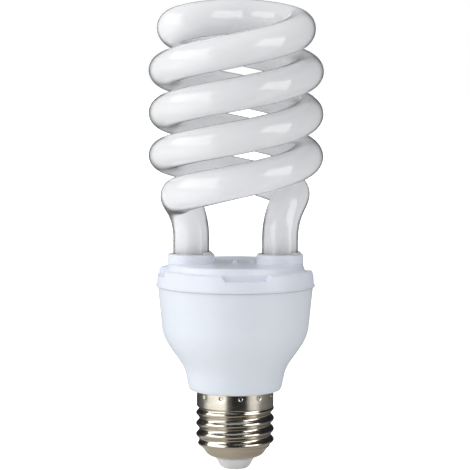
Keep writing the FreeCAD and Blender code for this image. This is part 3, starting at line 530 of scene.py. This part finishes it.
# Everything that stays as the CAD made it gets its finish here.
# Node: (darker colour, lighter colour, patch scale, roughness range, grain scale, grain depth, metallic, coat).
FINISHES = {
    "ballast_housing": ((0.83, 0.87, 0.92), (0.86, 0.90, 0.95), 45.0, (0.34, 0.42), 2600.0, 4e-6, 0.0, 0.1),
    "tube_cover": ((0.84, 0.87, 0.94), (0.87, 0.90, 0.97), 45.0, (0.34, 0.42), 2600.0, 4e-6, 0.0, 0.1),
    "leg_seals": ((0.72, 0.73, 0.73), (0.80, 0.81, 0.81), 500.0, (0.28, 0.42), 900.0, 6e-5, 0.0, 0.2),
    "cap_insulator": ((0.84, 0.84, 0.835), (0.90, 0.90, 0.895), 240.0, (0.35, 0.5), 1500.0, 1e-5, 0.0, 0.1),
    "centre_contact": ((0.50, 0.49, 0.46), (0.62, 0.61, 0.58), 700.0, (0.25, 0.4), 2500.0, 1e-5, 1.0, 0.0),
    "circuit_board": ((0.50, 0.40, 0.22), (0.60, 0.49, 0.29), 300.0, (0.5, 0.65), 3000.0, 1e-5, 0.0, 0.0),
    "wire_posts": ((0.60, 0.60, 0.58), (0.72, 0.72, 0.70), 900.0, (0.25, 0.4), 3000.0, 4e-6, 1.0, 0.0),
    "filament_wires": ((0.62, 0.62, 0.60), (0.74, 0.74, 0.72), 900.0, (0.2, 0.35), 3000.0, 2e-6, 1.0, 0.0),
    "live_wire": ((0.02, 0.02, 0.02), (0.05, 0.05, 0.05), 400.0, (0.4, 0.55), 2500.0, 6e-6, 0.0, 0.0),
    "neutral_wire": ((0.38, 0.03, 0.025), (0.5, 0.05, 0.04), 400.0, (0.4, 0.55), 2500.0, 6e-6, 0.0, 0.0),
    "storage_capacitor": ((0.02, 0.025, 0.05), (0.04, 0.05, 0.09), 200.0, (0.25, 0.35), 1800.0, 4e-6, 0.0, 0.4),
    "choke_core": ((0.03, 0.03, 0.032), (0.06, 0.06, 0.062), 600.0, (0.6, 0.75), 2600.0, 1.5e-5, 0.0, 0.0),
    "choke_bobbin": ((0.04, 0.04, 0.04), (0.07, 0.07, 0.07), 400.0, (0.45, 0.6), 2200.0, 8e-6, 0.0, 0.0),
    "choke_winding": ((0.36, 0.13, 0.04), (0.50, 0.21, 0.08), 800.0, (0.25, 0.4), 2600.0, 3e-5, 0.3, 0.5),
    "drive_transformer_ring": ((0.03, 0.03, 0.032), (0.06, 0.06, 0.062), 600.0, (0.6, 0.75), 2600.0, 1.5e-5, 0.0,
                               0.0),
    "drive_transformer_winding": ((0.40, 0.15, 0.05), (0.55, 0.24, 0.1), 900.0, (0.25, 0.4), 2600.0, 4e-6, 0.4, 0.5),
    "switching_transistors": ((0.02, 0.02, 0.02), (0.04, 0.04, 0.04), 500.0, (0.5, 0.65), 2800.0, 1e-5, 0.0, 0.0),
    "rectifier_diodes": ((0.02, 0.02, 0.02), (0.045, 0.045, 0.045), 500.0, (0.35, 0.5), 2600.0, 6e-6, 0.0, 0.0),
    "resistors": ((0.48, 0.36, 0.20), (0.60, 0.47, 0.29), 500.0, (0.35, 0.5), 2000.0, 8e-6, 0.0, 0.2),
    "fuse_resistor": ((0.16, 0.28, 0.2), (0.22, 0.36, 0.27), 500.0, (0.5, 0.65), 2000.0, 1e-5, 0.0, 0.0),
    "trigger_diac": ((0.05, 0.16, 0.34), (0.08, 0.22, 0.45), 700.0, (0.15, 0.25), 2000.0, 2e-6, 0.0, 0.6),
    "resonant_capacitor": ((0.38, 0.05, 0.03), (0.48, 0.08, 0.05), 300.0, (0.2, 0.32), 1200.0, 1e-5, 0.0, 0.5),
    "coupling_capacitor": ((0.33, 0.10, 0.04), (0.43, 0.15, 0.07), 300.0, (0.2, 0.32), 1200.0, 1e-5, 0.0, 0.5),
    "snubber_capacitor": ((0.05, 0.17, 0.42), (0.08, 0.23, 0.52), 500.0, (0.35, 0.5), 1500.0, 1e-5, 0.0, 0.3),
    "start_thermistor": ((0.46, 0.30, 0.14), (0.58, 0.40, 0.2), 500.0, (0.5, 0.65), 1500.0, 1.5e-5, 0.0, 0.0),
    "filter_coil_core": ((0.03, 0.03, 0.032), (0.06, 0.06, 0.062), 600.0, (0.6, 0.75), 2600.0, 1.5e-5, 0.0, 0.0),
    "filter_coil_winding": ((0.40, 0.15, 0.05), (0.55, 0.24, 0.1), 900.0, (0.25, 0.4), 2600.0, 3e-5, 0.4, 0.5),
}


def finish_nodes():
    for name, values in FINISHES.items():
        low, high, patch, rough, grain, depth, metallic, coat = values
        mat = finish_material(name + "_finish", low, high, patch, rough, grain, depth, metallic, coat, COAT_ROUGH)
        if name in ("ballast_housing", "tube_cover"):
            mat.node_tree.nodes["Principled BSDF"].inputs["Specular IOR Level"].default_value = PLASTIC_GLOSS
            shade_seam(mat)
        wear(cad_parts[name], mat)


def shade_seam(mat):
    """Painted shade: the plastic's colour is darkened in the joint between cover and housing, where the groove's
    shadow falls.
    """
    n = Nodes(mat.node_tree, keep=True)
    shader = n.tree.nodes["Principled BSDF"]
    body = shader.inputs["Base Color"].links[0].from_socket
    place = n.add("NewGeometry")
    part = n.add("SeparateXYZ")
    n.link(place.outputs["Position"], part.inputs[0])
    off = n.add("Math", operation="SUBTRACT")
    off.inputs[1].default_value = seam_z * MM
    n.link(part.outputs["Z"], off.inputs[0])
    away = n.add("Math", operation="ABSOLUTE")
    n.link(off.outputs[0], away.inputs[0])
    near = n.add("MapRange", interpolation_type="SMOOTHSTEP")
    near.inputs["From Min"].default_value = 0.0
    near.inputs["From Max"].default_value = seam_half * MM
    near.inputs["To Min"].default_value = SEAM_SHADE
    near.inputs["To Max"].default_value = 1.0
    n.link(away.outputs[0], near.inputs["Value"])
    darker = n.add("VectorMath", operation="SCALE")
    n.link(body, darker.inputs[0])
    n.link(near.outputs["Result"], darker.inputs["Scale"])
    n.link(darker.outputs["Vector"], shader.inputs["Base Color"])


# Stage: floor, background, lamps and the dark tent that the gloss sees.

def ray_is(n, *kinds):
    """1 for these kinds of ray."""
    path = n.add("LightPath")
    total = path.outputs[kinds[0]]
    for kind in kinds[1:]:
        node = n.add("Math", operation="MAXIMUM")
        n.link(total, node.inputs[0])
        n.link(path.outputs[kind], node.inputs[1])
        total = node.outputs[0]
    return total


def make_world():
    world = bpy.data.worlds.new("studio")
    world.use_nodes = True
    scene.world = world
    n = Nodes(world.node_tree)
    out = n.add("OutputWorld")
    ambient = n.add("Background")
    ambient.inputs["Color"].default_value = AMBIENT_COLOUR
    coord = n.add("TexCoord")
    rise = n.add("VectorMath", operation="DOT_PRODUCT")
    rise.inputs[1].default_value = AMBIENT_WAY
    n.link(coord.outputs["Generated"], rise.inputs[0])
    sky = n.add("MapRange")
    sky.inputs["From Min"].default_value = -1.0
    sky.inputs["From Max"].default_value = 1.0
    sky.inputs["To Min"].default_value = AMBIENT_LOW
    sky.inputs["To Max"].default_value = AMBIENT_HIGH
    n.link(rise.outputs["Value"], sky.inputs["Value"])
    n.link(sky.outputs["Result"], ambient.inputs["Strength"])
    white = n.add("Background")
    white.inputs["Color"].default_value = WHITE
    mix = n.add("MixShader")
    n.link(ray_is(n, "Is Camera Ray", "Is Glossy Ray", "Is Transmission Ray"), mix.inputs["Fac"])
    n.link(ambient.outputs[0], mix.inputs[1])
    n.link(white.outputs[0], mix.inputs[2])
    n.link(mix.outputs[0], out.inputs["Surface"])


def make_floor():
    mat = bpy.data.materials.new("floor_paper")
    mat.use_nodes = True
    n = Nodes(mat.node_tree)
    out = n.add("OutputMaterial")
    paper = n.add("BsdfDiffuse")
    paper.inputs["Color"].default_value = PAPER_COLOUR
    glow = n.add("Emission")
    strength = n.add("Math", operation="MULTIPLY")
    strength.inputs[1].default_value = FLOOR_GLOW
    n.link(ray_is(n, "Is Camera Ray", "Is Glossy Ray", "Is Transmission Ray"), strength.inputs[0])
    n.link(strength.outputs[0], glow.inputs["Strength"])
    both = n.add("AddShader")
    n.link(paper.outputs[0], both.inputs[0])
    n.link(glow.outputs[0], both.inputs[1])
    n.link(both.outputs[0], out.inputs["Surface"])
    bm = bmesh.new()
    bmesh.ops.create_circle(bm, cap_ends=True, segments=FLOOR_SIDES, radius=FLOOR_R)
    mesh = bpy.data.meshes.new("floor")
    bm.to_mesh(mesh)
    bm.free()
    mesh.materials.append(mat)
    floor = bpy.data.objects.new("floor", mesh)
    floor.location.z = FLOOR_Z
    scene.collection.objects.link(floor)


def make_tent():
    """A dark tent over the stage that only gloss sees, with the lit parts of its floor painted on."""
    cloth = bpy.data.materials.new("tent_cloth")
    cloth.use_nodes = True
    n = Nodes(cloth.node_tree)
    out = n.add("OutputMaterial")
    glow = n.add("Emission")
    glow.inputs["Color"].default_value = TENT_COLOUR
    n.link(glow.outputs[0], out.inputs["Surface"])
    bm = bmesh.new()
    bmesh.ops.create_uvsphere(bm, u_segments=TENT_SIDES, v_segments=TENT_ROWS, radius=TENT_R)
    bmesh.ops.delete(bm, geom=[f for f in bm.faces if f.calc_center_median().z < 0], context="FACES")
    add_stage_mesh("tent", bm, cloth, TENT_FLOOR_Z)
    bm = bmesh.new()
    bmesh.ops.create_circle(bm, cap_ends=True, segments=TENT_SIDES, radius=TENT_R)
    add_stage_mesh("tent_floor", bm, tent_floor_material(), TENT_FLOOR_Z)


def tent_floor_material():
    """Bright in front of the soft boxes, dark elsewhere, and paper painted in the bulb's shade close to the object.
    """
    mat = bpy.data.materials.new("tent_floor")
    mat.use_nodes = True
    n = Nodes(mat.node_tree)
    out = n.add("OutputMaterial")
    coord = n.add("TexCoord")
    part = n.add("SeparateXYZ")
    n.link(coord.outputs["Object"], part.inputs[0])
    front = n.add("Math", operation="MULTIPLY")
    front.inputs[1].default_value = -1.0
    n.link(part.outputs["Y"], front.inputs[0])
    turn = n.add("Math", operation="ARCTAN2")
    n.link(part.outputs["X"], turn.inputs[0])
    n.link(front.outputs[0], turn.inputs[1])
    place = n.add("MapRange")
    place.inputs["From Min"].default_value = -math.pi
    place.inputs["From Max"].default_value = math.pi
    n.link(turn.outputs[0], place.inputs["Value"])
    ramp = n.add("ValToRGB")
    stops = ramp.color_ramp.elements
    while len(stops) < len(FLOOR_LIGHT):
        stops.new(0.5)
    for stop, (azimuth, level) in zip(stops, FLOOR_LIGHT):
        stop.position = azimuth / 360.0 + 0.5
        grey = level / FLOOR_LIGHT_TOP
        stop.color = (grey, grey, grey, 1.0)
    n.link(place.outputs["Result"], ramp.inputs["Fac"])
    away = n.add("VectorMath", operation="LENGTH")
    n.link(coord.outputs["Object"], away.inputs[0])
    fall = n.add("MapRange")
    fall.inputs["From Min"].default_value = FLOOR_RISE[0]
    fall.inputs["From Max"].default_value = FLOOR_RISE[1]
    fall.inputs["To Min"].default_value = FLOOR_LEVEL[0]
    fall.inputs["To Max"].default_value = FLOOR_LEVEL[1]
    n.link(away.outputs["Value"], fall.inputs["Value"])
    far = n.add("Emission")
    n.link(fall.outputs["Result"], far.inputs["Strength"])
    n.link(ramp.outputs["Color"], far.inputs["Color"])
    near = n.add("Emission")
    near.inputs["Color"].default_value = NEAR_COLOUR
    # Painted shadow of the bulb: the near paper darkens towards the right.
    shade = n.add("MapRange")
    shade.inputs["From Min"].default_value = NEAR_SHADE_X[0]
    shade.inputs["From Max"].default_value = NEAR_SHADE_X[1]
    shade.inputs["To Min"].default_value = 1.0
    shade.inputs["To Max"].default_value = NEAR_SHADE
    n.link(part.outputs["X"], shade.inputs["Value"])
    n.link(shade.outputs["Result"], near.inputs["Strength"])
    edge = n.add("MapRange")
    edge.inputs["From Min"].default_value = NEAR_FLOOR
    edge.inputs["From Max"].default_value = NEAR_FLOOR + NEAR_EDGE
    n.link(away.outputs["Value"], edge.inputs["Value"])
    mix = n.add("MixShader")
    n.link(edge.outputs["Result"], mix.inputs["Fac"])
    n.link(near.outputs[0], mix.inputs[1])
    n.link(far.outputs[0], mix.inputs[2])
    n.link(mix.outputs[0], out.inputs["Surface"])
    return mat


def add_stage_mesh(name, bm, mat, height):
    mesh = bpy.data.meshes.new(name)
    bm.to_mesh(mesh)
    bm.free()
    mesh.materials.append(mat)
    obj = bpy.data.objects.new(name, mesh)
    obj.location.z = height
    scene.collection.objects.link(obj)
    only_gloss(obj)


def only_gloss(obj):
    obj.visible_camera = False
    obj.visible_diffuse = False
    obj.visible_shadow = False
    obj.visible_transmission = False
    obj.visible_volume_scatter = False


def toward(azimuth, elevation):
    """Direction from the bulb. Azimuth runs from the camera's side towards the viewer's right."""
    a = math.radians(azimuth)
    e = math.radians(elevation)
    return Vector((math.sin(a) * math.cos(e), -math.cos(a) * math.cos(e), math.sin(e)))


def card(name, corners, radiance):
    """The lit face of a soft box as gloss sees it, between four corners given as azimuth and elevation."""
    mat = bpy.data.materials.new(name)
    mat.use_nodes = True
    n = Nodes(mat.node_tree)
    out = n.add("OutputMaterial")
    face = n.add("Emission")
    face.inputs["Strength"].default_value = radiance
    n.link(face.outputs[0], out.inputs["Surface"])
    low_left, low_right, top_right, top_left = corners
    verts = []
    for i in range(CARD_ROWS + 1):
        for k in range(CARD_ROWS + 1):
            s = k / CARD_ROWS
            t = i / CARD_ROWS
            low = [a + (b - a) * s for a, b in zip(low_left, low_right)]
            top = [a + (b - a) * s for a, b in zip(top_left, top_right)]
            way = toward(*[a + (b - a) * t for a, b in zip(low, top)])
            reach = min(CARD_DISTANCE, (MIDDLE_Z - CARD_FLOOR_Z) / max(-way.z, 0.001))
            verts.append(MIDDLE + way * reach)
    width = CARD_ROWS + 1
    faces = [(i * width + k, i * width + k + 1, (i + 1) * width + k + 1, (i + 1) * width + k)
             for i in range(CARD_ROWS) for k in range(CARD_ROWS)]
    mesh = bpy.data.meshes.new(name)
    mesh.from_pydata([tuple(v) for v in verts], [], faces)
    mesh.materials.append(mat)
    obj = bpy.data.objects.new(name, mesh)
    scene.collection.objects.link(obj)
    only_gloss(obj)


def lamp(name, azimuth, elevation, distance, wide, high, radiance):
    """A soft box that lights the scene, unseen by the camera and by gloss."""
    data = bpy.data.lights.new(name, "AREA")
    data.shape = "RECTANGLE"
    data.size = wide
    data.size_y = high
    data.energy = radiance * math.pi * wide * high
    obj = bpy.data.objects.new(name, data)
    scene.collection.objects.link(obj)
    out = toward(azimuth, elevation)
    obj.location = MIDDLE + out * distance
    obj.rotation_euler = out.to_track_quat("Z", "Y").to_euler()
    obj.visible_camera = False
    obj.visible_glossy = False


# The world lights the bulb more from the left and from above.
AMBIENT_LOW = 0.36
AMBIENT_HIGH = 0.93
AMBIENT_WAY = (-0.66, 0.0, 0.75)
AMBIENT_COLOUR = (0.96, 0.975, 1.0, 1.0)
WHITE = (1.0, 1.0, 1.0, 1.0)
PAPER_COLOUR = (0.9, 0.9, 0.9, 1.0)
FLOOR_GLOW = 0.75
FLOOR_R = 4.0
FLOOR_SIDES = 96
FLOOR_Z = -0.0001
TENT_COLOUR = (0.018, 0.018, 0.022, 1.0)
TENT_R = 1.6
TENT_SIDES = 90
TENT_ROWS = 60
TENT_FLOOR_Z = 0.0002
# Gloss sees the floor close to the bulb as paper painted in the bulb's shade, deepest towards the right, and
# further out by azimuth, with a level that rises over this span of distances.
NEAR_FLOOR = 0.022
NEAR_EDGE = 0.01
NEAR_COLOUR = (0.57, 0.53, 0.47, 1.0)
NEAR_SHADE_X = (-0.005, 0.02)
NEAR_SHADE = 0.55
FLOOR_RISE = (0.03, 0.15)
FLOOR_LEVEL = (1.3, 2.1)
FLOOR_LIGHT_TOP = 2.0
# How bright gloss sees the floor, by azimuth from the camera's side towards the viewer's right: two soft boxes
# with soft edges, dim walls beside them, and dark in front and behind.
FLOOR_LIGHT = [(-180.0, 0.06), (-140.0, 0.07), (-106.0, 0.2), (-84.0, 1.3), (-62.0, 1.5), (-30.0, 1.5),
               (-21.0, 0.2), (-6.0, 0.025), (32.0, 0.04), (46.0, 1.0), (62.0, 1.1), (80.0, 0.35), (119.0, 0.19),
               (180.0, 0.05)]
# Lamps and cards stand round this point of the bulb.
MIDDLE_Z = 0.09
MIDDLE = Vector((0, 0, MIDDLE_Z))
CARD_DISTANCE = 0.9
CARD_ROWS = 12
CARD_FLOOR_Z = 0.0006
# Name, azimuth, elevation, distance, width, height, radiance.
LAMPS = [
    ("box_left", -62.0, 18.0, 0.9, 1.0, 0.66, 0.75),
    ("box_side", -102.0, 6.0, 0.9, 0.6, 0.6, 1.1),
    ("box_top", -170.0, 58.0, 0.9, 0.9, 0.6, 0.6),
]
# Name, corners from the lower left one on, radiance.
CARDS = [
    ("face_left", ((-97.0, 14.0), (-31.0, -14.0), (-42.0, 50.0), (-120.0, 40.0)), 3.0),
    ("face_right", ((26.0, 12.0), (72.0, -14.0), (76.0, 32.0), (38.0, 50.0)), 3.7),
]

make_camera()
build_tube()
build_cap()
finish_nodes()
make_world()
make_floor()
make_tent()
for lamp_values in LAMPS:
    lamp(*lamp_values)
for card_values in CARDS:
    card(*card_values)
scene.view_settings.view_transform = "Standard"
